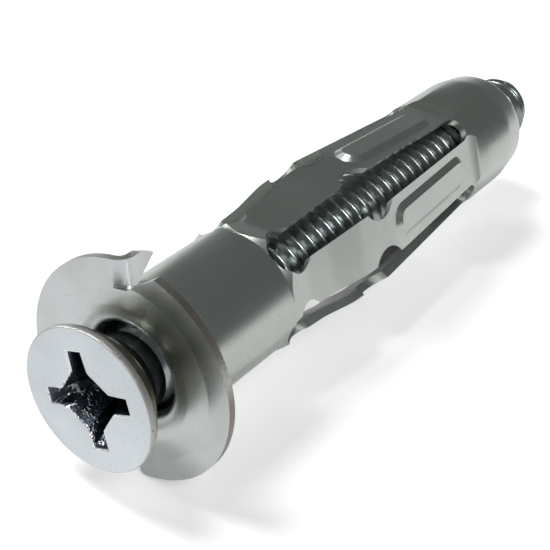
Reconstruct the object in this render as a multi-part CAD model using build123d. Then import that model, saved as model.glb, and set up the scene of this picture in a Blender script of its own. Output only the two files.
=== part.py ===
from build123d import *
import os
from math import atan2, cos, degrees, radians, sin, tan

# A hollow wall anchor of the quarter inch size: a slotted steel sleeve with a toothed flange,
# a nut held in its end collar, and a countersunk machine screw through both.
#
# Each piece is drawn about the Z axis, flange near z = 0 and tail towards +Z, and is then laid
# along +Y. The finished part has its origin at the centre of the flange's seat, the face that
# meets the wall, with +Y into the wall and +Z up. All sizes are in millimetres.
#
# A clock angle is read from the head: 0 is up (+Z), 90 is to the right (+X).

# Sheet and tube
SHEET = 0.6                 # thickness of the pressed steel
TUBE_D = 10.0               # outside of the plain tube

# Flange and its entry hole
FLANGE_D = 16.7
SEAT_WIDTH = 1.7            # flat outer ring that bears on the wall
CROWN = 0.25                # how far the middle of the flange stands forward of the ring
CROWN_R = 5.1
CROWN_BEND = 1.0
HOLE_CLEARANCE = 0.32       # around the screw, on the radius
LIP_BEND = 0.85             # middle of the sheet where the flange turns into the hole
NECK_END = 1.0              # end of the drawn-in neck
NECK_BEND = 1.5
NECK_FLARE_END = 3.0        # where the neck has opened out to the tube

# Anti-turn teeth, cut from the flange and folded back
TOOTH_CLOCKS = (0, 180)
NOTCH_SPREAD = 18.5         # angle of rim that each notch takes up
TOOTH_LEAN = 15.6           # of the fold line from the middle of the notch
TOOTH_ROOT_R = 6.4          # where the cut and the fold meet
TOOTH_ROOT_CLOCK = -6.0
TOOTH_BEND = 0.5            # inside radius of the fold
TOOTH_TIP_OUT = 1.45        # tip from the root, along the fold line
TOOTH_TIP_BACK = 2.4        # tip behind the seat
RIM_TRIM = 0.3              # extra length, trimmed to the flange's rim

# Slots and legs
LEG_COUNT = 5
FIRST_SLOT_CLOCK = 30.25
SLOT_HEAD_WIDTH = 2.6
SLOT_WAIST_WIDTH = 3.15
SLOT_TAIL_WIDTH = 2.3
SLOT_END = 40.2
RELIEF_HOLE_D = 3.8         # round hole at the flange end of each slot
RELIEF_HOLE_Y = 13.55
WAIST_HOLE_D = 4.7          # round hole at mid-length, where the leg folds
WAIST_HOLE_Y = 23.7
LEGS_START = 11.2           # the stretch that holds the flat legs
LEGS_END = 43.2
FOOT_START = 11.9           # where the flat of a leg dips below the round of the tube
FOOT_START_BEND = 3.0
FOOT_Y = 13.9
FOOT_DROP = 0.22            # of the flat's middle below the plain tube
FOOT_BEND = 6.0
SWELL_Y = 17.0
SWELL_DROP = 0.02
KNEE_Y = 20.6
KNEE_RISE = 0.5             # of the flat's middle above the plain tube
KNEE_BEND = 14.0
WAIST_Y = 25.0
WAIST_RISE = 0.68
WAIST_BEND = 20.0
ROUND_END = 11.7            # where the tube begins to spread into five flats
SPREAD_END = 16.0
SPREAD_RISE = 1.9           # of the flats' corners above the plain tube at most
CLOSE_START = 33.0          # where the corners draw in again
CLOSE_END = 39.5
FLAT_STAND = 0.05           # of a flat outside the round tube and collar, where it is not felt

# Stiffening rib along the tail half of each leg
RIB_WIDTH = 2.8             # between the feet of its sides, were the leg flat
RIB_LIFT = 0.06             # of the inside of the rib above the middle of the leg's sheet
RIB_START = 25.3
RIB_END = 38.2
RIB_FLANK = 56.0            # slope of its sides, in degrees from square

# Collar and nut
COLLAR_D = 10.5
COLLAR_TAPER_D = 9.7        # where the tapered end turns in
COLLAR_MOUTH_D = 7.6        # inside the turned-in end
SHOULDER_START = 40.2       # foot of the rise from the legs to the collar
SHOULDER_END = 42.6
SHOULDER_DROP = 0.55        # how far the middles of the legs' tail ends lie below the collar
SHOULDER_BEND = 4.0
COLLAR_TAPER = 46.8
TAPER_BEND = 5.0
COLLAR_TURN = 49.5
COLLAR_END = 50.4
MOUTH_BEND = 0.6            # middle of the sheet where the end turns in
NUT_START = 42.9
NUT_END = 49.0
NUT_FIT = 0.04              # radial room around the nut
NUT_CHAMFER = 0.5

# Machine screw, quarter inch, 20 threads to the inch
SCREW_D = 6.35
THREAD_FIT = 0.05           # radial room between the screw and its nut
SCREW_LENGTH = 60.4         # over all
HEAD_D = 10.7
HEAD_LAND = 0.5             # straight edge of the head
HEAD_CONE = 82.0            # included angle
HEAD_FACE_Y = -4.65         # where the head stands with the screw part driven
TIP_STEP = 0.675            # of the screw's end face below its thread, on the radius
TIP_TAPER = 1.6             # length of its tapered end
BLANK_STEP = 0.295          # of the plain neck below the thread, on the radius
BLANK_END = -0.1
RECESS_SPAN = 7.2           # across opposite wings at the face
RECESS_WING = 1.2           # width of a wing at its end
RECESS_ROOT = 1.35          # width of a wing where it runs into the middle
RECESS_ROOT_R = 2.1         # from the axis to that place
RECESS_DEPTH = 3.7
RECESS_FLOOR = 0.42         # size of the floor against the opening
RECESS_CLOCK = -23.9

# Worked out from the sizes above
HALF = SHEET / 2
RIB_HEIGHT = HALF + RIB_LIFT
FLANGE_R = FLANGE_D / 2
SCREW_R = SCREW_D / 2
BLANK_R = SCREW_R - BLANK_STEP
TIP_R = SCREW_R - TIP_STEP
HOLE_MIDDLE = SCREW_R + HOLE_CLEARANCE + HALF
TUBE_MIDDLE = TUBE_D / 2 - HALF
COLLAR_MIDDLE = COLLAR_D / 2 - HALF
LEG_TAIL_MIDDLE = COLLAR_MIDDLE - SHOULDER_DROP
WAIST_MIDDLE = TUBE_MIDDLE + WAIST_RISE
LEG_SLOPE = degrees(atan2(WAIST_MIDDLE - LEG_TAIL_MIDDLE, SHOULDER_START - WAIST_Y))
SLOT_PITCH = 360 / LEG_COUNT
FAR = TUBE_D                # past the outside of any piece of the sleeve
LAY_ALONG_Y = Rot(X=-90)


def outward(clock):
    """The direction straight out from the axis at a clock angle."""
    return Vector(sin(radians(clock)), -cos(radians(clock)), 0)


def outward_plane(clock, radius, height, lean=0.0):
    """A plane facing out at a clock angle, its own y along the tail, leaned towards the tail."""
    out = outward(clock)
    across = Vector(0, 0, 1).cross(out)
    facing = out * cos(radians(lean)) + Vector(0, 0, sin(radians(lean)))
    return Plane(origin=out * radius + Vector(0, 0, height), x_dir=across, z_dir=facing)


def front_section():
    """The section of the sheet from the flange's rim through the entry hole to the plain tube."""
    points = [
        (FLANGE_R, -HALF),
        (FLANGE_R - SEAT_WIDTH, -HALF),
        (CROWN_R, -HALF - CROWN),
        (HOLE_MIDDLE, -HALF - CROWN),
        (HOLE_MIDDLE, NECK_END),
        (TUBE_MIDDLE, NECK_FLARE_END),
        (TUBE_MIDDLE, LEGS_START),
    ]
    bends = [CROWN_BEND, CROWN_BEND, LIP_BEND, NECK_BEND, NECK_BEND]
    return Plane.XZ * sheet_around(FilletPolyline(*points, radius=bends))


def tail_section():
    """The section of the sheet along the collar to its turned-in end."""
    points = [
        (COLLAR_MIDDLE, LEGS_END),
        (COLLAR_MIDDLE, COLLAR_TAPER),
        (COLLAR_TAPER_D / 2 - HALF, COLLAR_TURN),
        (COLLAR_MOUTH_D / 2, COLLAR_END - HALF),
    ]
    return Plane.XZ * sheet_around(FilletPolyline(*points, radius=[TAPER_BEND, MOUTH_BEND]))


def sheet_around(middle):
    """The band of sheet about its middle line, with square ends."""
    near = middle.offset_2d(HALF, side=Side.LEFT, closed=False)
    far = middle.offset_2d(HALF, side=Side.RIGHT, closed=False)
    ends = [near @ 0, near @ 1]
    starts = [far @ 0, far @ 1]
    if (ends[0] - starts[0]).length > (ends[0] - starts[1]).length:
        starts.reverse()
    return make_face([near, far, Line(ends[0], starts[0]), Line(ends[1], starts[1])])


def leg_block(clock, rise):
    """All that lies under one leg, to a height above the middle of its sheet, flat across."""
    near_bends = [FOOT_START_BEND, FOOT_BEND, KNEE_BEND, KNEE_BEND]
    line = FilletPolyline(
        (TUBE_MIDDLE + FLAT_STAND, LEGS_START),
        (TUBE_MIDDLE + FLAT_STAND, FOOT_START),
        (TUBE_MIDDLE - FOOT_DROP, FOOT_Y),
        (TUBE_MIDDLE - SWELL_DROP, SWELL_Y),
        (TUBE_MIDDLE + KNEE_RISE, KNEE_Y),
        (WAIST_MIDDLE, WAIST_Y),
        (LEG_TAIL_MIDDLE, SHOULDER_START),
        (COLLAR_MIDDLE + FLAT_STAND, SHOULDER_END),
        (COLLAR_MIDDLE + FLAT_STAND, LEGS_END),
        radius=[*near_bends, WAIST_BEND, SHOULDER_BEND, SHOULDER_BEND],
    )
    skin = line.offset_2d(abs(rise), side=Side.RIGHT if rise > 0 else Side.LEFT, closed=False)
    low, high = sorted((skin @ 0, skin @ 1), key=lambda point: point.Y)
    section = make_face([skin, Polyline(low, (-FAR, low.Y), (-FAR, high.Y), high)])
    out = outward(clock)
    side = Plane(origin=(0, 0, 0), x_dir=out, z_dir=out.cross(Vector(0, 0, 1)))
    return extrude(side * section, FAR, both=True)


def five_flats(clocks, rise):
    """The legs' stretch filled to a height above the middle of the sheet: a tube with five flats."""
    tube = TUBE_MIDDLE + rise
    collar = COLLAR_MIDDLE + rise
    section = Polygon(
        (0, LEGS_START),
        (tube, LEGS_START),
        (tube, ROUND_END),
        (tube + SPREAD_RISE, SPREAD_END),
        (tube + SPREAD_RISE, CLOSE_START),
        (collar, CLOSE_END),
        (collar, LEGS_END),
        (0, LEGS_END),
        align=None,
    )
    body = revolve(Plane.XZ * section, Axis.Z)
    for clock in clocks:
        body &= leg_block(clock, rise)
    return body


def slot_cutter(clock):
    """One slot: a relief hole, a widening run, a waist hole and a narrowing run to a round end."""
    end_y = SLOT_END - SLOT_TAIL_WIDTH / 2
    run = Polygon(
        (-SLOT_HEAD_WIDTH / 2, RELIEF_HOLE_Y),
        (SLOT_HEAD_WIDTH / 2, RELIEF_HOLE_Y),
        (SLOT_WAIST_WIDTH / 2, WAIST_HOLE_Y),
        (SLOT_TAIL_WIDTH / 2, end_y),
        (-SLOT_TAIL_WIDTH / 2, end_y),
        (-SLOT_WAIST_WIDTH / 2, WAIST_HOLE_Y),
        align=None,
    )
    outline = run + Pos(0, RELIEF_HOLE_Y) * Circle(RELIEF_HOLE_D / 2)
    outline += Pos(0, WAIST_HOLE_Y) * Circle(WAIST_HOLE_D / 2)
    outline += Pos(0, end_y) * Circle(SLOT_TAIL_WIDTH / 2)
    return extrude(outward_plane(clock, 0, 0) * outline, TUBE_D)


def rib_block(clock, low, high, inset):
    """A round-ended block with sloping sides, between two heights over a leg's outer skin."""
    middle_y = (RIB_START + RIB_END) / 2
    share = (middle_y - WAIST_Y) / (SHOULDER_START - WAIST_Y)
    skin_r = WAIST_MIDDLE + share * (LEG_TAIL_MIDDLE - WAIST_MIDDLE) + HALF
    spread = low * tan(radians(RIB_FLANK)) + inset
    plane = outward_plane(clock, skin_r + low, middle_y, LEG_SLOPE)
    outline = SlotOverall(RIB_END - RIB_START - 2 * spread, RIB_WIDTH - 2 * spread, rotation=90)
    return extrude(plane * outline, high - low, taper=RIB_FLANK)


def tooth_plane(clock):
    """The flange's seat at a tooth's root: x out along the fold, y towards the cut, z to the tail."""
    root = outward(clock + TOOTH_ROOT_CLOCK) * TOOTH_ROOT_R
    return Plane(origin=root, x_dir=outward(clock - TOOTH_LEAN), z_dir=(0, 0, 1))


def notch_cutter(clock):
    """The triangle of flange that a tooth leaves open, from its bend to the cut edge."""
    seat = tooth_plane(clock)
    bend_start = -(TOOTH_BEND + SHEET)
    half_spread = NOTCH_SPREAD / 2
    past_rim = 2 * (FLANGE_R - TOOTH_ROOT_R)
    toward = seat.to_local_coords(outward(clock + half_spread) * FLANGE_R)
    outline = Polygon(
        (0, bend_start),
        (past_rim, bend_start),
        (toward.X * 2, toward.Y * 2),
        (0, 0),
        align=None,
    )
    return extrude(seat * outline, 2 * SHEET, both=True)


def tooth(clock):
    """A tooth: a triangle of flange turned back about the fold at one side of its notch."""
    seat = tooth_plane(clock)
    outer = TOOTH_BEND + SHEET
    reach = FLANGE_R - TOOTH_ROOT_R + RIM_TRIM
    side = Plane(origin=seat.origin, x_dir=seat.y_dir, z_dir=seat.x_dir)
    corner = Pos(-outer, TOOTH_BEND)
    ring = corner * Circle(outer) - corner * Circle(TOOTH_BEND)
    quarter = ring & Pos(-outer / 2, TOOTH_BEND - outer / 2) * Rectangle(outer, outer)
    bend = extrude(side * quarter, reach)
    face = Plane(origin=seat.origin, x_dir=seat.x_dir, z_dir=-seat.y_dir)
    outline = Polygon(
        (0, TOOTH_BEND),
        (reach, TOOTH_BEND),
        (TOOTH_TIP_OUT, TOOTH_TIP_BACK),
        align=None,
    )
    leaf = extrude(face * outline, SHEET)
    return (bend + leaf) & Cylinder(FLANGE_R, 4 * FLANGE_R)


def anchor_sleeve():
    """The pressed and rolled steel sleeve, in one piece from the toothed flange to the collar."""
    slot_clocks = [FIRST_SLOT_CLOCK + SLOT_PITCH * count for count in range(LEG_COUNT)]
    leg_clocks = [clock + SLOT_PITCH / 2 for clock in slot_clocks]
    sleeve = revolve(front_section(), Axis.Z) + revolve(tail_section(), Axis.Z)
    sleeve += five_flats(leg_clocks, HALF) - five_flats(leg_clocks, -HALF)
    wall = SHEET / cos(radians(RIB_FLANK))
    for clock in leg_clocks:
        sleeve += rib_block(clock, -HALF, 2 * RIB_HEIGHT, 0) & leg_block(clock, HALF + RIB_HEIGHT)
    for clock in leg_clocks:
        sleeve -= rib_block(clock, -2 * SHEET, RIB_HEIGHT - HALF, wall) & leg_block(clock, RIB_HEIGHT - HALF)
    for clock in slot_clocks:
        sleeve -= slot_cutter(clock)
    for clock in TOOTH_CLOCKS:
        sleeve -= notch_cutter(clock)
        sleeve += tooth(clock)
    return sleeve


def captive_nut():
    """The round threaded nut that lies in the collar, its tail end tapering with the collar."""
    outer = COLLAR_D / 2 - SHEET - NUT_FIT
    bore = SCREW_R + THREAD_FIT
    slope = (COLLAR_D - COLLAR_TAPER_D) / 2 / (COLLAR_TURN - COLLAR_TAPER)
    taper_start = COLLAR_TAPER - NUT_CHAMFER
    taper_end = NUT_END - NUT_CHAMFER
    tail = outer - slope * (taper_end - taper_start)
    section = Polygon(
        (bore, NUT_START + NUT_CHAMFER),
        (bore + NUT_CHAMFER, NUT_START),
        (outer - NUT_CHAMFER, NUT_START),
        (outer, NUT_START + NUT_CHAMFER),
        (outer, taper_start),
        (tail, taper_end),
        (tail - NUT_CHAMFER, NUT_END),
        (bore + NUT_CHAMFER, NUT_END),
        (bore, taper_end),
        align=None,
    )
    return revolve(Plane.XZ * section, Axis.Z)


def recess_outline(share):
    """The recess's cross at a share of its size: four wings spreading into a square middle."""
    root = RECESS_ROOT / 2
    wing = [
        (RECESS_ROOT_R, -root),
        (RECESS_SPAN / 2, -RECESS_WING / 2),
        (RECESS_SPAN / 2, RECESS_WING / 2),
        (RECESS_ROOT_R, root),
    ]
    points = [Vector(*point) * share for point in wing]
    turned = [point.rotate(Axis.Z, turn) for turn in (0, 90, 180, 270) for point in points]
    return Polygon(*turned, align=None)


def recess_cutter():
    """The cross recess, narrowing evenly from just outside the head's face to its floor."""
    outside = Plane(origin=(0, 0, HEAD_FACE_Y - HEAD_LAND))
    floor = Plane(origin=(0, 0, HEAD_FACE_Y + RECESS_DEPTH))
    opening = 1 + (1 - RECESS_FLOOR) * HEAD_LAND / RECESS_DEPTH
    cross = loft([outside * recess_outline(opening), floor * recess_outline(RECESS_FLOOR)], ruled=True)
    return Rot(Z=RECESS_CLOCK) * cross


def machine_screw():
    """The countersunk screw, its thread drawn as a plain cylinder of the thread's outside size."""
    head_r = HEAD_D / 2
    cone_start = HEAD_FACE_Y + HEAD_LAND
    cone_end = cone_start + (head_r - BLANK_R) / tan(radians(HEAD_CONE / 2))
    tip = HEAD_FACE_Y + SCREW_LENGTH
    section = Polygon(
        (0, HEAD_FACE_Y),
        (head_r, HEAD_FACE_Y),
        (head_r, cone_start),
        (BLANK_R, cone_end),
        (BLANK_R, BLANK_END),
        (SCREW_R, BLANK_END + SCREW_R - BLANK_R),
        (SCREW_R, tip - TIP_TAPER),
        (TIP_R, tip),
        (0, tip),
        align=None,
    )
    return revolve(Plane.XZ * section, Axis.Z) - recess_cutter()


if __name__ == "__main__":
    os.makedirs("parts", exist_ok=True)
    for node, build in (
        ("anchor_sleeve", anchor_sleeve),
        ("captive_nut", captive_nut),
        ("machine_screw", machine_screw),
    ):
        export_step(LAY_ALONG_Y * build(), "parts/" + node + ".step")
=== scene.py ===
import logging
import math
from dataclasses import dataclass
from enum import Enum, IntEnum

import bpy
from mathutils import Matrix, Vector


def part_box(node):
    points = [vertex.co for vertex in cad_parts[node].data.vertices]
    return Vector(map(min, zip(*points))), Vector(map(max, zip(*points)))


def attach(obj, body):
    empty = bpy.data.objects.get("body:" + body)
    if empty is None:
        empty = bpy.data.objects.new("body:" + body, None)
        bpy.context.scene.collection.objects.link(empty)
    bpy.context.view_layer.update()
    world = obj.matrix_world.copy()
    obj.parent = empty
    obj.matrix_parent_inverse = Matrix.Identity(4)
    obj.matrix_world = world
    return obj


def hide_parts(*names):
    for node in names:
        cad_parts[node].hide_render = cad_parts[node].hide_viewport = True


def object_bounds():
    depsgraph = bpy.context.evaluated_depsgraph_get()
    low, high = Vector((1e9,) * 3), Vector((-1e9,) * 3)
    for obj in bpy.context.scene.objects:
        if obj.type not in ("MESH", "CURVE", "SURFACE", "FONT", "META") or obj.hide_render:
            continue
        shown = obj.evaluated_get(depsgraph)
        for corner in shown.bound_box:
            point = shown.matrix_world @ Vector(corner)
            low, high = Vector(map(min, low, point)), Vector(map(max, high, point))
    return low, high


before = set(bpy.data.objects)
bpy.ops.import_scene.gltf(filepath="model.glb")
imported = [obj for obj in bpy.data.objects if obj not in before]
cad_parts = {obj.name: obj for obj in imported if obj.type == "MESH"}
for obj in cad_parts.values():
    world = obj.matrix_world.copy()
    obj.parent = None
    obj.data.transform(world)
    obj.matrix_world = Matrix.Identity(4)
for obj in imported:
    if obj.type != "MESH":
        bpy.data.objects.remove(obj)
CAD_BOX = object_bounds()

# A hollow wall anchor of bright plated steel, lying on a white table: its pressed sleeve, the
# nut in the collar and the countersunk screw. Lengths in the classes are in millimetres.

MM = 0.001
SAME_POINT = 1e-7           # metres, below which two points are one
SEAM_GAP = 1e-6             # metres, between two turns of the thread before they are joined
ROUNDING_FACES = 2          # across a worn edge
LOG = logging.getLogger("hollow_wall_anchor")
Colour = tuple[float, float, float, float]


class Slot(Enum):
    """The record's material slots."""

    SHEET = "plated_sheet"
    NUT = "plated_nut"
    SCREW = "plated_screw"


class Body(Enum):
    """The bodies that move against each other."""

    SLEEVE = "sleeve"
    SCREW = "screw"


class SleeveZone(IntEnum):
    """The finishes of the sleeve, by their place in its list."""

    SKIN = 0
    CUT_EDGE = 1
    INSIDE = 2
    NECK = 3
    RIM = 4


class ScrewZone(IntEnum):
    """The finishes of the screw, by their place in its list."""

    FACE = 0
    LAND = 1
    CONE = 2
    RECESS = 3
    THREAD = 4
    RECESS_EDGE = 5


def deselect_all() -> None:
    """Leaves object mode with nothing selected."""
    if bpy.context.object is not None and bpy.context.object.mode != "OBJECT":
        bpy.ops.object.mode_set(mode="OBJECT")
    bpy.ops.object.select_all(action="DESELECT")


def make_active(piece: bpy.types.Object) -> None:
    """Selects one object alone and makes it active.

    Args:
        piece: the object to work on.
    """
    deselect_all()
    piece.select_set(True)
    bpy.context.view_layer.objects.active = piece


def copy_of_node(node: str, name: str) -> bpy.types.Object:
    """Copies a frame node's mesh into a new object with its loose triangles merged.

    Args:
        node: the node's name.
        name: the new object's name.

    Returns:
        The new object, with its place in its mesh.
    """
    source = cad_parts[node]
    mesh = source.data.copy()
    mesh.materials.clear()
    piece = bpy.data.objects.new(name, mesh)
    bpy.context.scene.collection.objects.link(piece)
    make_active(piece)
    bpy.ops.object.mode_set(mode="EDIT")
    bpy.ops.mesh.select_all(action="SELECT")
    bpy.ops.mesh.remove_doubles(threshold=SAME_POINT)
    bpy.ops.mesh.customdata_custom_splitnormals_clear()
    bpy.ops.object.mode_set(mode="OBJECT")
    return piece


def smooth(piece: bpy.types.Object, degrees: float) -> None:
    """Shades a piece smooth except across edges sharper than an angle.

    Args:
        piece: the object.
        degrees: the sharpest angle that still shades smooth.
    """
    make_active(piece)
    bpy.ops.object.shade_smooth_by_angle(angle=math.radians(degrees))


def cut_plane(piece: bpy.types.Object, y: float, keep_below: bool) -> None:
    """Cuts a piece square to the anchor's axis and closes the cut.

    Args:
        piece: the object.
        y: the cut's place along the axis, in millimetres.
        keep_below: keeps the side nearer the head.
    """
    make_active(piece)
    bpy.ops.object.mode_set(mode="EDIT")
    bpy.ops.mesh.select_all(action="SELECT")
    bpy.ops.mesh.bisect(
        plane_co=(0, y * MM, 0), plane_no=(0, 1, 0), use_fill=True,
        clear_inner=not keep_below, clear_outer=keep_below, threshold=SAME_POINT,
    )
    bpy.ops.object.mode_set(mode="OBJECT")


def draw_line(name: str, points: list[tuple[float, float, float]]) -> bpy.types.Object:
    """Draws an open line by drawing out one point step by step.

    Args:
        name: the new object's name.
        points: the line's points, in millimetres.

    Returns:
        The line's object.
    """
    deselect_all()
    bpy.ops.mesh.primitive_plane_add(size=MM)
    piece = bpy.context.object
    piece.name = name
    bpy.ops.object.mode_set(mode="EDIT")
    bpy.ops.mesh.select_all(action="SELECT")
    bpy.ops.mesh.merge(type="CENTER")
    bpy.ops.transform.translate(value=Vector(points[0]) * MM)
    for start, end in zip(points, points[1:]):
        step = (Vector(end) - Vector(start)) * MM
        bpy.ops.mesh.extrude_region_move(TRANSFORM_OT_translate={"value": step})
    bpy.ops.object.mode_set(mode="OBJECT")
    return piece


def merge_flats(piece: bpy.types.Object, degrees: float) -> None:
    """Joins a piece's faces that lie flat beside each other.

    Args:
        piece: the object.
        degrees: the most that such faces may turn.
    """
    make_active(piece)
    bpy.ops.object.mode_set(mode="EDIT")
    bpy.ops.mesh.select_all(action="SELECT")
    bpy.ops.mesh.dissolve_limited(angle_limit=math.radians(degrees))
    bpy.ops.object.mode_set(mode="OBJECT")


def round_edges(piece: bpy.types.Object, width: float, degrees: float) -> None:
    """Breaks a piece's sharp edges.

    Args:
        piece: the object.
        width: how far the rounding reaches from the edge, in millimetres.
        degrees: the least angle of an edge that is rounded.
    """
    make_active(piece)
    bevel = piece.modifiers.new("worn_edges", "BEVEL")
    bevel.width = width * MM
    bevel.segments = ROUNDING_FACES
    bevel.limit_method = "ANGLE"
    bevel.angle_limit = math.radians(degrees)
    bpy.ops.object.modifier_apply(modifier=bevel.name)


# Shared surface effects


@dataclass(frozen=True)
class NodeTree:
    """A thin helper that adds and joins shader nodes."""

    MIX_INPUTS = (0, 6, 7)      # the mix node's share and its two colours
    MIX_OUTPUT = 2

    tree: bpy.types.NodeTree

    def add(self, kind: str, **settings: object) -> bpy.types.Node:
        """Adds a node.

        Args:
            kind: the node's type name.
            settings: its properties.

        Returns:
            The node.
        """
        node = self.tree.nodes.new(kind)
        for key, value in settings.items():
            setattr(node, key, value)
        return node

    def join(self, start: bpy.types.NodeSocket, end: bpy.types.NodeSocket) -> None:
        """Joins two sockets."""
        self.tree.links.new(start, end)

    def math(self, operation: str, first: object, second: object) -> bpy.types.NodeSocket:
        """Adds a sum of two values.

        Args:
            operation: the sum's name.
            first: a socket or a number.
            second: a socket or a number.

        Returns:
            The result's socket.
        """
        node = self.add("ShaderNodeMath", operation=operation)
        for place, value in enumerate((first, second)):
            if isinstance(value, bpy.types.NodeSocket):
                self.join(value, node.inputs[place])
            else:
                node.inputs[place].default_value = value
        return node.outputs[0]

    def noise(self, where: bpy.types.NodeSocket, scale: float, detail: float,
              roughness: float = 0.55) -> bpy.types.NodeSocket:
        """Adds a noise over a coordinate.

        Args:
            where: the coordinate's socket.
            scale: features to the metre.
            detail: octaves.
            roughness: strength of the fine octaves.

        Returns:
            The noise's value, about 0 to 1.
        """
        node = self.add("ShaderNodeTexNoise")
        node.inputs["Scale"].default_value = scale
        node.inputs["Detail"].default_value = detail
        node.inputs["Roughness"].default_value = roughness
        self.join(where, node.inputs["Vector"])
        return node.outputs["Fac"]

    def ramp(self, value: bpy.types.NodeSocket, low: float, high: float, start: float = 0.0,
             end: float = 1.0) -> bpy.types.NodeSocket:
        """Maps a value's range smoothly to another.

        Args:
            value: the socket.
            low: the value that gives start.
            high: the value that gives end.
            start: the result at low.
            end: the result at high.

        Returns:
            The mapped socket.
        """
        node = self.add("ShaderNodeMapRange", interpolation_type="SMOOTHSTEP")
        self.join(value, node.inputs["Value"])
        for name, number in (("From Min", low), ("From Max", high), ("To Min", start), ("To Max", end)):
            node.inputs[name].default_value = number
        return node.outputs["Result"]

    def blend(self, amount: object, first: object, second: object) -> bpy.types.NodeSocket:
        """Mixes two colours.

        Args:
            amount: a socket or number, the share of the second.
            first: a socket or colour.
            second: a socket or colour.

        Returns:
            The mixed colour's socket.
        """
        node = self.add("ShaderNodeMix", data_type="RGBA")
        for place, value in zip(self.MIX_INPUTS, (amount, first, second)):
            if isinstance(value, bpy.types.NodeSocket):
                self.join(value, node.inputs[place])
            else:
                node.inputs[place].default_value = value
        return node.outputs[self.MIX_OUTPUT]


class PlatingGroup:
    """The plated surface that every piece shares: cloudy tone, fine grain and tiny pits."""

    NAME = "bright_plating"
    CLOUDS = 180.0          # to the metre
    GRAINS = 7000.0
    SPECKS = 5200.0
    PIT_START = 0.74        # height of a speck at a pit's rim
    PIT_FLOOR = 0.80
    PIT_COLOUR = (0.10, 0.095, 0.09, 1.0)
    PIT_TINT = 0.6
    PIT_DEPTH = 1.5         # against the grain's height
    GRAIN_TINT = 0.35
    PATCH_RANGE = (0.25, 0.75)
    GRAIN_RANGE = (0.3, 0.7)

    def build(self) -> bpy.types.NodeTree:
        """Builds the group once.

        Returns:
            The node group.
        """
        group = bpy.data.node_groups.get(self.NAME)
        if group is not None:
            return group
        group = bpy.data.node_groups.new(self.NAME, "ShaderNodeTree")
        face = group.interface
        for name, kind in (("Tone", "NodeSocketColor"), ("Shade", "NodeSocketColor"),
                           ("Grain", "NodeSocketFloat"), ("Pits", "NodeSocketFloat"),
                           ("Roughness", "NodeSocketFloat"), ("Spread", "NodeSocketFloat")):
            face.new_socket(name=name, in_out="INPUT", socket_type=kind)
        for name, kind in (("Colour", "NodeSocketColor"), ("Roughness", "NodeSocketFloat"),
                           ("Height", "NodeSocketFloat")):
            face.new_socket(name=name, in_out="OUTPUT", socket_type=kind)
        nodes = NodeTree(group)
        given = nodes.add("NodeGroupInput").outputs
        result = nodes.add("NodeGroupOutput").inputs
        place = nodes.add("ShaderNodeTexCoord").outputs["Object"]
        cloud = nodes.noise(place, self.CLOUDS, detail=2.0, roughness=0.5)
        grain = nodes.noise(place, self.GRAINS, detail=2.0, roughness=0.6)
        speck = nodes.noise(place, self.SPECKS, detail=0.0)
        pits = nodes.ramp(speck, self.PIT_START, self.PIT_FLOOR)
        pits = nodes.math("MULTIPLY", pits, given["Pits"])
        patch = nodes.ramp(cloud, *self.PATCH_RANGE)
        colour = nodes.blend(patch, given["Tone"], given["Shade"])
        fine = nodes.ramp(grain, *self.GRAIN_RANGE)
        fine = nodes.math("MULTIPLY", fine, given["Grain"])
        colour = nodes.blend(nodes.math("MULTIPLY", fine, self.GRAIN_TINT), colour, given["Shade"])
        colour = nodes.blend(nodes.math("MULTIPLY", pits, self.PIT_TINT), colour, self.PIT_COLOUR)
        rough = nodes.math("MULTIPLY", patch, given["Spread"])
        rough = nodes.math("ADD", rough, given["Roughness"])
        height = nodes.math("MULTIPLY", grain, given["Grain"])
        height = nodes.math("SUBTRACT", height, nodes.math("MULTIPLY", pits, self.PIT_DEPTH))
        nodes.join(colour, result["Colour"])
        nodes.join(rough, result["Roughness"])
        nodes.join(height, result["Height"])
        return group


@dataclass(frozen=True)
class PlatedFinish:
    """One plated finish.

    Attributes:
        name: the material's name.
        tone: the main colour.
        shade: the colour of its darker patches.
        roughness: the gloss's lowest roughness.
        spread: how much the patches add to it.
        grain: strength of the fine grain.
        pits: strength of the pits.
        bump: height of the grain, in millimetres.
    """

    name: str
    tone: Colour
    shade: Colour
    roughness: float = 0.24
    spread: float = 0.10
    grain: float = 0.5
    pits: float = 0.0
    bump: float = 0.004

    def surface(self, nodes: NodeTree) -> tuple[bpy.types.Node, bpy.types.Node]:
        """Adds the shader and the shared plating to a material's nodes.

        Args:
            nodes: the material's nodes, emptied.

        Returns:
            The shader and the plating group's node.
        """
        out = nodes.add("ShaderNodeOutputMaterial")
        shader = nodes.add("ShaderNodeBsdfPrincipled")
        shader.inputs["Metallic"].default_value = 1.0
        nodes.join(shader.outputs[0], out.inputs["Surface"])
        plating = nodes.add("ShaderNodeGroup")
        plating.node_tree = PlatingGroup().build()
        plating.inputs["Tone"].default_value = self.tone
        plating.inputs["Shade"].default_value = self.shade
        plating.inputs["Grain"].default_value = self.grain
        plating.inputs["Pits"].default_value = self.pits
        plating.inputs["Roughness"].default_value = self.roughness
        plating.inputs["Spread"].default_value = self.spread
        return shader, plating

    def relief(self, nodes: NodeTree, plating: bpy.types.Node) -> bpy.types.NodeSocket:
        """Finds the height that the bump follows."""
        return plating.outputs["Height"]

    def build(self) -> bpy.types.Material:
        """Builds the material.

        Returns:
            The material.
        """
        material = bpy.data.materials.new(self.name)
        material.use_nodes = True
        material.node_tree.nodes.clear()
        nodes = NodeTree(material.node_tree)
        shader, plating = self.surface(nodes)
        bump = nodes.add("ShaderNodeBump")
        bump.inputs["Distance"].default_value = self.bump * MM
        nodes.join(self.relief(nodes, plating), bump.inputs["Height"])
        nodes.join(plating.outputs["Colour"], shader.inputs["Base Color"])
        nodes.join(plating.outputs["Roughness"], shader.inputs["Roughness"])
        nodes.join(bump.outputs["Normal"], shader.inputs["Normal"])
        return material


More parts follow.
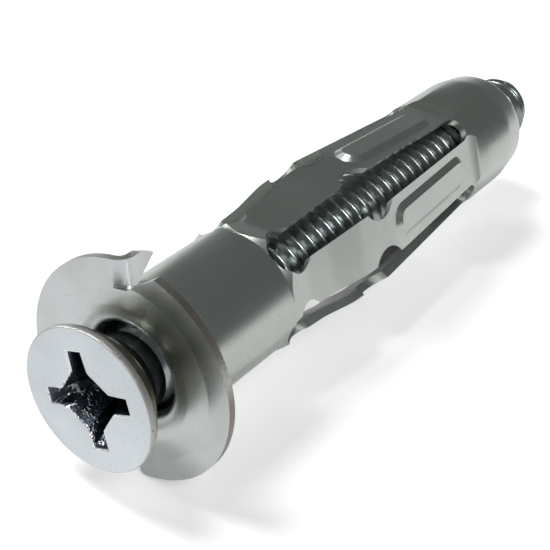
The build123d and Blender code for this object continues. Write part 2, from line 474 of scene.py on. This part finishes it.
@dataclass(frozen=True)
class TurnedFinish(PlatedFinish):
    """A plated finish over uneven turned rings about the anchor's axis.

    Attributes:
        rings: rings to the millimetre along the axis, about.
        depth: their height against the grain's.
        deep_end: where the rings have faded, along the axis.
        fade_length: how far before that they begin to fade.
        faded: the share of their height that is left.
    """

    rings: float = 3.2
    depth: float = 12.0
    deep_end: float = -2.6
    fade_length: float = 1.0
    faded: float = 0.25

    def relief(self, nodes: NodeTree, plating: bpy.types.Node) -> bpy.types.NodeSocket:
        """Adds the rings to the plating's height.

        Args:
            nodes: the material's nodes.
            plating: the plating group's node.

        Returns:
            The height's socket.
        """
        place = nodes.add("ShaderNodeTexCoord").outputs["Object"]
        parts = nodes.add("ShaderNodeSeparateXYZ")
        nodes.join(place, parts.inputs[0])
        along = nodes.add("ShaderNodeCombineXYZ")
        nodes.join(parts.outputs["Y"], along.inputs["Y"])
        wave = nodes.noise(along.outputs[0], self.rings / MM, detail=2.0, roughness=0.6)
        fade_start = (self.deep_end - self.fade_length) * MM
        fade = nodes.ramp(parts.outputs["Y"], fade_start, self.deep_end * MM, start=1.0, end=self.faded)
        wave = nodes.math("MULTIPLY", nodes.math("MULTIPLY", wave, fade), self.depth)
        return nodes.math("ADD", wave, plating.outputs["Height"])


@dataclass(frozen=True)
class SheetFinish(PlatedFinish):
    """A plated sheet whose cast runs from one colour at the flange to another, greener and darker, along
    the tube; the darker part is painted shade.

    Attributes:
        tube_tone_and_shade: the main colour along the tube.
        change: the middle of the change of cast, along the axis.
        half_change: half the length over which it changes.
    """

    tube_tone_and_shade: Colour = (0.5, 0.5, 0.5, 1.0)
    change: float = 1.5
    half_change: float = 1.5

    def surface(self, nodes: NodeTree) -> tuple[bpy.types.Node, bpy.types.Node]:
        """Adds the change of cast and the tube's painted shade to the plated surface.

        Args:
            nodes: the material's nodes.

        Returns:
            The shader and the plating group's node.
        """
        shader, plating = super().surface(nodes)
        parts = nodes.add("ShaderNodeSeparateXYZ")
        nodes.join(nodes.add("ShaderNodeTexCoord").outputs["Object"], parts.inputs[0])
        start = (self.change - self.half_change) * MM
        end = (self.change + self.half_change) * MM
        share = nodes.ramp(parts.outputs["Y"], start, end)
        nodes.join(nodes.blend(share, self.tone, self.tube_tone_and_shade), plating.inputs["Tone"])
        return shader, plating


@dataclass(frozen=True)
class TornGlintFinish(PlatedFinish):
    """A plated wall that the driver tore towards its lower left, painted white there, partly as a
    highlight where the lower walls catch the light.

    Attributes:
        torn_glint_colour: the white of those places, partly a painted highlight.
        torn_glint_from: how far down the lower left the white places begin, in millimetres.
        torn_glint_before: how far before that the first traces lie.
        torn_glint_after: how far past that they are in full.
        torn_glint_scale: such places to the millimetre.
        torn_depth: their relief against the grain's.
    """

    DIAGONAL = -0.707           # turns x plus z into the distance down to the left
    SPOT_RANGE = (0.50, 0.60)

    torn_glint_colour: Colour = (0.96, 0.97, 1.0, 1.0)
    torn_glint_from: float = 1.5
    torn_glint_before: float = 0.4
    torn_glint_after: float = 0.3
    torn_glint_scale: float = 1.5
    torn_depth: float = 9.0

    def tear_glint_mask(self, nodes: NodeTree) -> bpy.types.NodeSocket:
        """Masks the places that the driver tore, which are painted white, partly as a highlight.

        Args:
            nodes: the material's nodes.

        Returns:
            The mask, 0 to 1.
        """
        place = nodes.add("ShaderNodeTexCoord").outputs["Object"]
        parts = nodes.add("ShaderNodeSeparateXYZ")
        nodes.join(place, parts.inputs[0])
        both = nodes.math("ADD", parts.outputs["X"], parts.outputs["Z"])
        down_left = nodes.math("MULTIPLY", both, self.DIAGONAL)
        start = (self.torn_glint_from - self.torn_glint_before) * MM
        where = nodes.ramp(down_left, start, (self.torn_glint_from + self.torn_glint_after) * MM)
        patches = nodes.noise(place, self.torn_glint_scale / MM, detail=2.0, roughness=0.7)
        spots = nodes.ramp(patches, *self.SPOT_RANGE)
        return nodes.math("MULTIPLY", where, spots)

    def surface(self, nodes: NodeTree) -> tuple[bpy.types.Node, bpy.types.Node]:
        """Adds the places that the driver tore, painted white partly as a highlight, to the plated
        surface.

        Args:
            nodes: the material's nodes.

        Returns:
            The shader and the plating group's node.
        """
        shader, plating = super().surface(nodes)
        mask = self.tear_glint_mask(nodes)
        nodes.join(nodes.blend(mask, self.tone, self.torn_glint_colour), plating.inputs["Tone"])
        nodes.join(nodes.blend(mask, self.shade, self.torn_glint_colour), plating.inputs["Shade"])
        return shader, plating

    def relief(self, nodes: NodeTree, plating: bpy.types.Node) -> bpy.types.NodeSocket:
        """Adds the relief of the places that the driver tore to the plating's height."""
        rough = nodes.math("MULTIPLY", self.tear_glint_mask(nodes), self.torn_depth)
        return nodes.math("ADD", rough, plating.outputs["Height"])


# The sheet's tube is darker than its flange: partly a greener cast, partly painted shade.
SHEET_FINISH = SheetFinish("plated_sheet", (0.66, 0.68, 0.70, 1), (0.52, 0.55, 0.53, 1),
                           roughness=0.26, spread=0.03, grain=0.5, pits=0.3,
                           tube_tone_and_shade=(0.54, 0.575, 0.535, 1))
# Sheared edges: paler than the sheet, partly as a painted highlight along the cut edges.
EDGE_HIGHLIGHT_FINISH = PlatedFinish("sheared_edge_highlight", (0.84, 0.90, 0.85, 1), (0.62, 0.68, 0.63, 1),
                           roughness=0.24, spread=0.14, grain=0.9, bump=0.012)
RIM_FINISH = PlatedFinish("flange_rim", (0.72, 0.71, 0.69, 1), (0.26, 0.23, 0.21, 1),
                          roughness=0.26, spread=0.10, grain=1.0, bump=0.03)
# Inside of the legs: darker than the skin, which is painted shade inside the tube.
INSIDE_SHADE_FINISH = PlatedFinish("leg_inside_shade", (0.56, 0.52, 0.55, 1), (0.44, 0.40, 0.40, 1),
                             roughness=0.34, spread=0.10, grain=0.6)
# Inside of the neck behind the entry hole: near black, painted shade in the hollow.
NECK_SHADE_FINISH = PlatedFinish("neck_inside_shade", (0.16, 0.16, 0.18, 1), (0.10, 0.10, 0.11, 1),
                           roughness=0.38, spread=0.10, grain=0.5)
HEAD_FINISH = PlatedFinish("screw_face", (0.72, 0.765, 0.80, 1), (0.64, 0.685, 0.715, 1),
                           roughness=0.34, spread=0.05, grain=0.45, pits=0.45)
LAND_FINISH = PlatedFinish("head_edge", (0.74, 0.74, 0.73, 1), (0.44, 0.43, 0.42, 1),
                           roughness=0.36, spread=0.15, grain=1.0, pits=1.0, bump=0.04)
# Cone under the head: dark, painted shade under the head; its turned rings are relief.
CONE_SHADE_FINISH = TurnedFinish("turned_cone_shade", (0.26, 0.26, 0.21, 1), (0.16, 0.16, 0.12, 1),
                           roughness=0.20, spread=0.08, grain=0.6, depth=26.0)
# Walls of the cross recess: near black, painted shade in the hollow; the places the driver tore in them
# are painted white, partly as a highlight.
RECESS_SHADE_FINISH = TornGlintFinish("recess_wall_shade", (0.14, 0.16, 0.21, 1), (0.06, 0.07, 0.09, 1),
                           roughness=0.16, spread=0.12, grain=1.0, bump=0.03)
# Edge of the recess: pale from wear and paler still as a painted highlight, whitest where the driver
# tore it.
TORN_GLINT_FINISH = TornGlintFinish("recess_edge_glint", (0.92, 0.93, 0.96, 1), (0.70, 0.72, 0.76, 1),
                           roughness=0.20, spread=0.15, grain=1.0, bump=0.03, torn_glint_from=0.6)
# Thread: darker than the head, painted shade inside the sleeve.
THREAD_SHADE_FINISH = PlatedFinish("rolled_thread_shade", (0.44, 0.49, 0.49, 1), (0.24, 0.26, 0.26, 1),
                             roughness=0.20, spread=0.10, grain=0.8, bump=0.008)
NUT_FINISH = PlatedFinish("plated_nut", (0.50, 0.50, 0.48, 1), (0.38, 0.38, 0.36, 1))


# The pieces


@dataclass
class AnchorSleeve:
    """The pressed sleeve: the flange, its teeth, the tube, the slotted legs and the collar.

    Attributes:
        flange_radius: the flange's rim.
        rim_band: how far inside it a face still counts as the rim.
        neck_start: where the neck behind the entry hole begins.
        slots_start: where the slotted stretch begins.
        slots_end: where it ends.
        sharp_edge: the sharpest edge that shades smooth, in degrees.
        inside_facing: a leg's face that looks out less than this is its inside.
        skin_facing: one that looks out more than this is its skin.
        neck_facing: a face of the neck looks out less than this.
        rim_slope: a face of the rim looks along the axis less than this.
    """

    flange_radius: float = 8.35
    rim_band: float = 0.11
    neck_start: float = 0.5
    slots_start: float = 11.0
    slots_end: float = 41.5
    sharp_edge: float = 24.0
    inside_facing: float = -0.6
    skin_facing: float = 0.75
    neck_facing: float = -0.4
    rim_slope: float = 0.7

    def build(self) -> bpy.types.Object:
        """Copies the sleeve, smooths it and dresses its skin and its sheared edges.

        Returns:
            The sleeve's object.
        """
        piece = copy_of_node("anchor_sleeve", "anchor_sleeve_skin")
        smooth(piece, self.sharp_edge)
        for finish in (SHEET_FINISH, EDGE_HIGHLIGHT_FINISH, INSIDE_SHADE_FINISH, NECK_SHADE_FINISH, RIM_FINISH):
            piece.data.materials.append(finish.build())
        for face in piece.data.polygons:
            face.material_index = self.zone(face)
        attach(piece, Body.SLEEVE.value)
        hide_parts("anchor_sleeve")
        return piece

    def zone(self, face: bpy.types.MeshPolygon) -> SleeveZone:
        """Picks the finish of a face by where it lies and which way it looks.

        Args:
            face: a face of the sleeve.

        Returns:
            The finish's zone.
        """
        centre = face.center / MM
        out = Vector((centre.x, 0, centre.z))
        facing = face.normal.dot(out.normalized())
        if self.slots_start < centre.y < self.slots_end:
            if facing < self.inside_facing:
                return SleeveZone.INSIDE
            return SleeveZone.CUT_EDGE if facing < self.skin_facing else SleeveZone.SKIN
        if facing < self.neck_facing and self.neck_start < centre.y < self.slots_start:
            return SleeveZone.NECK
        on_rim = out.length > self.flange_radius - self.rim_band
        return SleeveZone.RIM if on_rim and abs(face.normal.y) < self.rim_slope else SleeveZone.SKIN


@dataclass
class CaptiveNut:
    """The nut inside the collar, which keeps its own shape."""

    def build(self) -> bpy.types.Object:
        """Dresses the nut.

        Returns:
            The nut's object.
        """
        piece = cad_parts["captive_nut"]
        piece.data.materials.clear()
        piece.data.materials.append(NUT_FINISH.build())
        return piece


@dataclass
class MachineScrew:
    """The countersunk screw with its cross recess and its rolled thread.

    Attributes:
        head_face: the head's face, along the axis.
        head_radius: the head's edge.
        land: the straight edge's length.
        neck_start: the small end of the cone.
        neck_end: the end of the plain neck, where the thread begins.
        cone_angle: the cone's included angle.
        ridges: places of the turned ridges on the cone, along the axis.
        ridge_half: half the width of a ridge.
        ridge_height: its height.
        wear: the rounding of the head's edges.
        flat_turn: the most that the head's flat faces turn, in degrees.
        worn_turn: the least turn of an edge that is worn, in degrees.
        head_sharp: the sharpest edge of the head that shades smooth, in degrees.
        thread_sharp: the same for the thread.
        torn_glint_wear: how deep the pale edge of the recess reaches, worn and partly a painted
            highlight, against the wear.
        recess_inset: how far inside the head's edge the recess keeps.
        cone_slack: how far inside the cone a face still counts as the cone.
        ridge_slack: how far inside the cone a point is still raised with a ridge.
        slack: how far past its end a stretch still counts.
        face_slack: the same for the head's face.
        level_slack: how far off a ridge's place a point still lies on it.
        lead_in: pitches that the helix starts ahead of the thread.
        crest_radius: the thread's outside.
        root_radius: the thread's root.
        pitch: from crest to crest.
        crest_flat: width of a crest.
        crest_round: share of the thread's depth taken by its rounded crest.
        root_flat: width of a root.
        foot_share: share of a flank's width that rounds into the root.
        flank_share: share that is straight.
        crown_share: share that rounds into the crest.
        run_out: length of plain root before the thread rises from the neck.
        overlap: how far the shank reaches into the neck.
        taper: length of the tapered tip.
        end_radius: the tip's end face.
        steps: facets to a turn.
        tip: the screw's end, read from the frame.
    """

    head_face: float = -4.65
    head_radius: float = 5.35
    land: float = 0.5
    neck_start: float = -1.31
    neck_end: float = -0.12
    cone_angle: float = 82.0
    ridges: tuple[float, ...] = (-3.84, -3.56, -3.22, -2.75)
    ridge_half: float = 0.08
    ridge_height: float = 0.07
    wear: float = 0.10
    flat_turn: float = 0.5
    worn_turn: float = 35.0
    head_sharp: float = 32.0
    thread_sharp: float = 80.0
    torn_glint_wear: float = 1.6
    recess_inset: float = 0.6
    cone_slack: float = 0.15
    ridge_slack: float = 0.05
    slack: float = 0.02
    face_slack: float = 0.001
    level_slack: float = 0.002
    lead_in: float = 2.0
    crest_radius: float = 3.175
    root_radius: float = 2.42
    pitch: float = 1.27
    crest_flat: float = 0.08
    crest_round: float = 0.16
    root_flat: float = 0.2
    foot_share: float = 0.2
    flank_share: float = 0.5
    crown_share: float = 0.3
    run_out: float = 0.15
    overlap: float = 0.2
    taper: float = 1.6
    end_radius: float = 2.5
    steps: int = 56
    tip: float = 0.0

    def __post_init__(self) -> None:
        """Reads the tip's place from the frame."""
        self.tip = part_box("machine_screw")[1][1] / MM

    def head(self) -> bpy.types.Object:
        """Makes the head and the plain neck from the frame's screw, with their edges worn.

        Returns:
            The head's object, closed at the end of the neck.
        """
        piece = copy_of_node("machine_screw", "machine_screw_full")
        cut_plane(piece, self.neck_end, keep_below=True)
        merge_flats(piece, self.flat_turn)
        round_edges(piece, self.wear, self.worn_turn)
        for place in self.ridges:
            self.ridge(piece, place)
        return piece

    def ridge(self, piece: bpy.types.Object, place: float) -> None:
        """Raises one turned ridge round the cone.

        Args:
            piece: the head.
            place: the ridge's place along the axis, in millimetres.
        """
        make_active(piece)
        bpy.ops.object.mode_set(mode="EDIT")
        for cut in (place - self.ridge_half, place, place + self.ridge_half):
            bpy.ops.mesh.select_all(action="SELECT")
            bpy.ops.mesh.bisect(
                plane_co=(0, cut * MM, 0), plane_no=(0, 1, 0), threshold=SAME_POINT,
            )
        bpy.ops.mesh.select_all(action="DESELECT")
        bpy.ops.object.mode_set(mode="OBJECT")
        radius = self.cone_radius(place)
        for vertex in piece.data.vertices:
            reach = math.hypot(vertex.co.x, vertex.co.z) / MM
            level = abs(vertex.co.y / MM - place) < self.level_slack
            vertex.select = level and reach > radius - self.ridge_slack
        bpy.ops.object.mode_set(mode="EDIT")
        grow = 1 + self.ridge_height / radius
        bpy.ops.transform.resize(value=(grow, 1.0, grow), center_override=(0.0, 0.0, 0.0))
        bpy.ops.object.mode_set(mode="OBJECT")

    def cone_radius(self, y: float) -> float:
        """Finds the cone's radius at a place along the axis, both in millimetres."""
        start = self.head_face + self.land
        return self.head_radius - (y - start) * math.tan(math.radians(self.cone_angle / 2))

    def shank(self) -> bpy.types.Object:
        """Makes the threaded shank by turning one pitch of the thread's outline along a helix.

        Returns:
            The shank's object, closed at both ends.
        """
        start = self.neck_end - self.lead_in * self.pitch
        slope = (self.pitch - self.crest_flat - self.root_flat) / 2
        rise = self.crest_radius - self.root_radius
        near_crest = self.crest_radius - self.crest_round * rise
        near_root = self.root_radius + self.crest_round * rise
        profile = [
            (0.0, self.root_radius),
            (self.root_flat, self.root_radius),
            (slope * self.foot_share, near_root),
            (slope * self.flank_share, near_crest),
            (slope * self.crown_share, self.crest_radius),
            (self.crest_flat, self.crest_radius),
            (slope * self.crown_share, near_crest),
            (slope * self.flank_share, near_root),
            (slope * self.foot_share, self.root_radius),
        ]
        points = []
        for step, radius in profile:
            start += step
            points.append((radius, start, 0.0))
        piece = draw_line("machine_screw_shank", points)
        turns = math.ceil((self.tip - points[0][1]) / self.pitch) + 1
        helix = piece.modifiers.new("helix", "SCREW")
        helix.axis = "Y"
        helix.steps = self.steps
        helix.render_steps = self.steps
        helix.screw_offset = self.pitch * MM
        helix.iterations = turns
        bpy.ops.object.modifier_apply(modifier=helix.name)
        bpy.ops.object.mode_set(mode="EDIT")
        bpy.ops.mesh.select_all(action="SELECT")
        bpy.ops.mesh.remove_doubles(threshold=SEAM_GAP)
        bpy.ops.object.mode_set(mode="OBJECT")
        cut_plane(piece, self.neck_end - self.overlap, keep_below=False)
        cut_plane(piece, self.tip, keep_below=True)
        for vertex in piece.data.vertices:
            self.draw_in(vertex)
        make_active(piece)
        bpy.ops.object.mode_set(mode="EDIT")
        bpy.ops.mesh.select_all(action="SELECT")
        bpy.ops.mesh.normals_make_consistent(inside=False)
        bpy.ops.object.mode_set(mode="OBJECT")
        return piece

    def draw_in(self, vertex: bpy.types.MeshVertex) -> None:
        """Pulls a point of the thread in to the tapered tip or to the run-out at the neck.

        Args:
            vertex: a point of the shank.
        """
        y = vertex.co.y / MM
        radius = math.hypot(vertex.co.x, vertex.co.z) / MM
        slope = (self.crest_radius - self.end_radius) / self.taper
        limit = self.end_radius + slope * (self.tip - y)
        limit = min(limit, self.root_radius + max(0.0, y - self.neck_end - self.run_out))
        limit = max(limit, self.root_radius)
        if radius > limit:
            vertex.co.x *= limit / radius
            vertex.co.z *= limit / radius

    def build(self) -> bpy.types.Object:
        """Joins the head and the shank into one screw and dresses it.

        Returns:
            The screw's object.
        """
        head = self.head()
        smooth(head, self.head_sharp)
        shank = self.shank()
        smooth(shank, self.thread_sharp)
        make_active(head)
        for finish in (HEAD_FINISH, LAND_FINISH, CONE_SHADE_FINISH, RECESS_SHADE_FINISH, THREAD_SHADE_FINISH, TORN_GLINT_FINISH):
            head.data.materials.append(finish.build())
        shank.data.materials.append(head.data.materials[ScrewZone.THREAD])
        shank.select_set(True)
        bpy.ops.object.join()
        for face in head.data.polygons:
            face.material_index = self.zone(face)
        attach(head, Body.SCREW.value)
        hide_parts("machine_screw")
        return head

    def zone(self, face: bpy.types.MeshPolygon) -> ScrewZone:
        """Picks the finish of a face by where it lies.

        Args:
            face: a face of the screw.

        Returns:
            The finish's zone.
        """
        centre = face.center / MM
        radius = math.hypot(centre.x, centre.z)
        land_end = self.head_face + self.land
        torn_glint_end = self.head_face + self.torn_glint_wear * self.wear
        if centre.y < self.head_face + self.face_slack:
            return ScrewZone.FACE
        if centre.y < torn_glint_end and radius < self.head_radius - self.recess_inset:
            return ScrewZone.RECESS_EDGE
        if radius > self.head_radius - self.wear and centre.y < land_end + self.wear:
            return ScrewZone.LAND
        if centre.y < self.neck_start + self.slack:
            on_cone = radius > self.cone_radius(centre.y) - self.cone_slack
            return ScrewZone.CONE if on_cone else ScrewZone.RECESS
        return ScrewZone.LAND if centre.y > self.tip - self.slack else ScrewZone.THREAD


# The table, the light and the camera


@dataclass
class Table:
    """The white table that the anchor lies on.

    Attributes:
        half_width: half its side.
        white: the share of light that it throws back.
        lift: the light that it gives off towards the eye alone, so that it reads as white.
        mirrored: the light that it gives off into what the metal mirrors.
    """

    half_width: float = 3000.0
    white: float = 0.88
    lift: float = 0.42
    mirrored: float = 0.10

    def build(self) -> bpy.types.Object:
        """Adds the table under the lowest point of the anchor.

        Returns:
            The table's object.
        """
        deselect_all()
        height = CAD_BOX[0][2]
        bpy.ops.mesh.primitive_plane_add(size=2 * self.half_width * MM, location=(0, 0, 0))
        table = bpy.context.object
        table.name = "white_table"
        for vertex in table.data.vertices:
            vertex.co.z = height
        table.data.materials.append(self.paint())
        return table

    def paint(self) -> bpy.types.Material:
        """Makes the table's white.

        Returns:
            The material.
        """
        material = bpy.data.materials.new("table_white")
        material.use_nodes = True
        material.node_tree.nodes.clear()
        nodes = NodeTree(material.node_tree)
        out = nodes.add("ShaderNodeOutputMaterial")
        matt = nodes.add("ShaderNodeBsdfDiffuse")
        matt.inputs["Color"].default_value = (self.white, self.white, self.white, 1)
        glow = nodes.add("ShaderNodeEmission")
        path = nodes.add("ShaderNodeLightPath").outputs
        seen = nodes.math("MULTIPLY", path["Is Camera Ray"], self.lift)
        mirror = nodes.math("MULTIPLY", path["Is Glossy Ray"], self.mirrored)
        nodes.join(nodes.math("ADD", seen, mirror), glow.inputs["Strength"])
        both = nodes.add("ShaderNodeAddShader")
        nodes.join(matt.outputs[0], both.inputs[0])
        nodes.join(glow.outputs[0], both.inputs[1])
        nodes.join(both.outputs[0], out.inputs["Surface"])
        return material


@dataclass(frozen=True)
class Lamp:
    """A far lamp.

    Attributes:
        name: the lamp's name.
        source: the direction that its light comes from.
        spread: how wide it looks, in degrees.
        power: its power, in watts to the square metre.
    """

    name: str
    source: tuple[float, float, float]
    spread: float
    power: float

    def build(self) -> None:
        """Adds the lamp to the scene."""
        light = bpy.data.lights.new(self.name, "SUN")
        light.angle = math.radians(self.spread)
        light.energy = self.power
        lamp = bpy.data.objects.new(self.name, light)
        bpy.context.scene.collection.objects.link(lamp)
        lamp.rotation_euler = Vector(self.source).to_track_quat("Z", "Y").to_euler()


LAMPS = (
    Lamp("key", (-0.42, -0.20, 0.88), 18.0, 1.6),
    Lamp("right", (0.55, -0.30, 0.78), 20.0, 0.8),
    Lamp("left", (-0.86, 0.0, 0.45), 20.0, 0.8),
)


@dataclass
class Studio:
    """The room and its lamps: white for the eye, dim overhead in what the metal mirrors.

    Attributes:
        overhead: the room's brightness overhead.
        horizon: its brightness at the height of the table.
        window: what a bright window low behind on the left adds.
    """

    CAST = (0.96, 1.0, 0.98, 1)
    BACKDROP = (1, 1, 1, 1)
    HORIZON_BAND = (0.0, 0.15)      # heights, sides and depths as shares of a direction
    WINDOW_TOP = (0.05, 0.25)
    WINDOW_BACK = (0.3, 0.7)
    WINDOW_SIDE = (-0.6, -0.2)

    overhead: float = 0.14
    horizon: float = 0.30
    window: float = 0.5

    def room(self) -> None:
        """Sets the world's colour by height."""
        world = bpy.data.worlds.new("studio_room")
        bpy.context.scene.world = world
        world.use_nodes = True
        world.node_tree.nodes.clear()
        nodes = NodeTree(world.node_tree)
        out = nodes.add("ShaderNodeOutputWorld")
        place = nodes.add("ShaderNodeTexCoord").outputs["Generated"]
        parts = nodes.add("ShaderNodeSeparateXYZ")
        nodes.join(place, parts.inputs[0])
        glow = nodes.ramp(parts.outputs["Z"], *self.HORIZON_BAND, self.horizon, self.overhead)
        low = nodes.ramp(parts.outputs["Z"], *self.WINDOW_TOP, start=self.window, end=0.0)
        behind = nodes.ramp(parts.outputs["Y"], *self.WINDOW_BACK)
        left = nodes.ramp(parts.outputs["X"], *self.WINDOW_SIDE, start=1.0, end=0.0)
        window = nodes.math("MULTIPLY", low, nodes.math("MULTIPLY", behind, left))
        dim = nodes.add("ShaderNodeBackground")
        dim.inputs["Color"].default_value = self.CAST
        nodes.join(nodes.math("ADD", glow, window), dim.inputs["Strength"])
        white = nodes.add("ShaderNodeBackground")
        white.inputs["Color"].default_value = self.BACKDROP
        white.inputs["Strength"].default_value = 1.0
        eye = nodes.add("ShaderNodeLightPath").outputs["Is Camera Ray"]
        choose = nodes.add("ShaderNodeMixShader")
        nodes.join(eye, choose.inputs[0])
        nodes.join(dim.outputs[0], choose.inputs[1])
        nodes.join(white.outputs[0], choose.inputs[2])
        nodes.join(choose.outputs[0], out.inputs["Surface"])

    def build(self) -> None:
        """Adds the room and the lamps."""
        self.room()
        for lamp in LAMPS:
            lamp.build()


@dataclass
class PhotoCamera:
    """The camera at the photograph's angle.

    Attributes:
        azimuth: round from the anchor's head, in degrees.
        elevation: above the anchor's axis, in degrees.
        roll_of_anchor: how far the anchor lies turned about its own axis, in degrees.
        place: the camera's place before that turn, in millimetres.
        lens: the lens's length, in millimetres.
        sensor: the sensor's width, in millimetres.
        near: the nearest thing that it sees, in metres.
        far: the farthest, in metres.
    """

    azimuth: float = 34.73
    elevation: float = 30.16
    roll_of_anchor: float = -9.25
    place: tuple[float, float, float] = (46.55, -50.68, 46.77)
    lens: float = 80.87
    sensor: float = 36.0
    near: float = 0.001
    far: float = 20.0

    def build(self) -> bpy.types.Object:
        """Adds the camera and makes it the scene's.

        Returns:
            The camera's object.
        """
        a = math.radians(self.azimuth)
        e = math.radians(self.elevation)
        right = Vector((math.cos(a), math.sin(a), 0))
        forward = Vector((-math.sin(a) * math.cos(e), math.cos(a) * math.cos(e), -math.sin(e)))
        up = right.cross(forward)
        axes = Matrix((right, up, -forward)).transposed().to_4x4()
        turn = Matrix.Rotation(math.radians(self.roll_of_anchor), 4, "Y")
        data = bpy.data.cameras.new("photo_camera")
        data.lens = self.lens
        data.sensor_width = self.sensor
        data.clip_start = self.near
        data.clip_end = self.far
        camera = bpy.data.objects.new("photo_camera", data)
        bpy.context.scene.collection.objects.link(camera)
        camera.matrix_world = turn @ Matrix.Translation(Vector(self.place) * MM) @ axes
        bpy.context.scene.camera = camera
        return camera


def main() -> None:
    """Builds the pieces in order, then the table, the light and the camera."""
    logging.basicConfig(level=logging.INFO)
    bpy.context.scene.view_settings.view_transform = "Standard"
    for part in (AnchorSleeve(), CaptiveNut(), MachineScrew()):
        piece = part.build()
        LOG.info("%s: %d faces", piece.name, len(piece.data.polygons))
    Table().build()
    Studio().build()
    PhotoCamera().build()


if __name__ == "__main__":
    main()
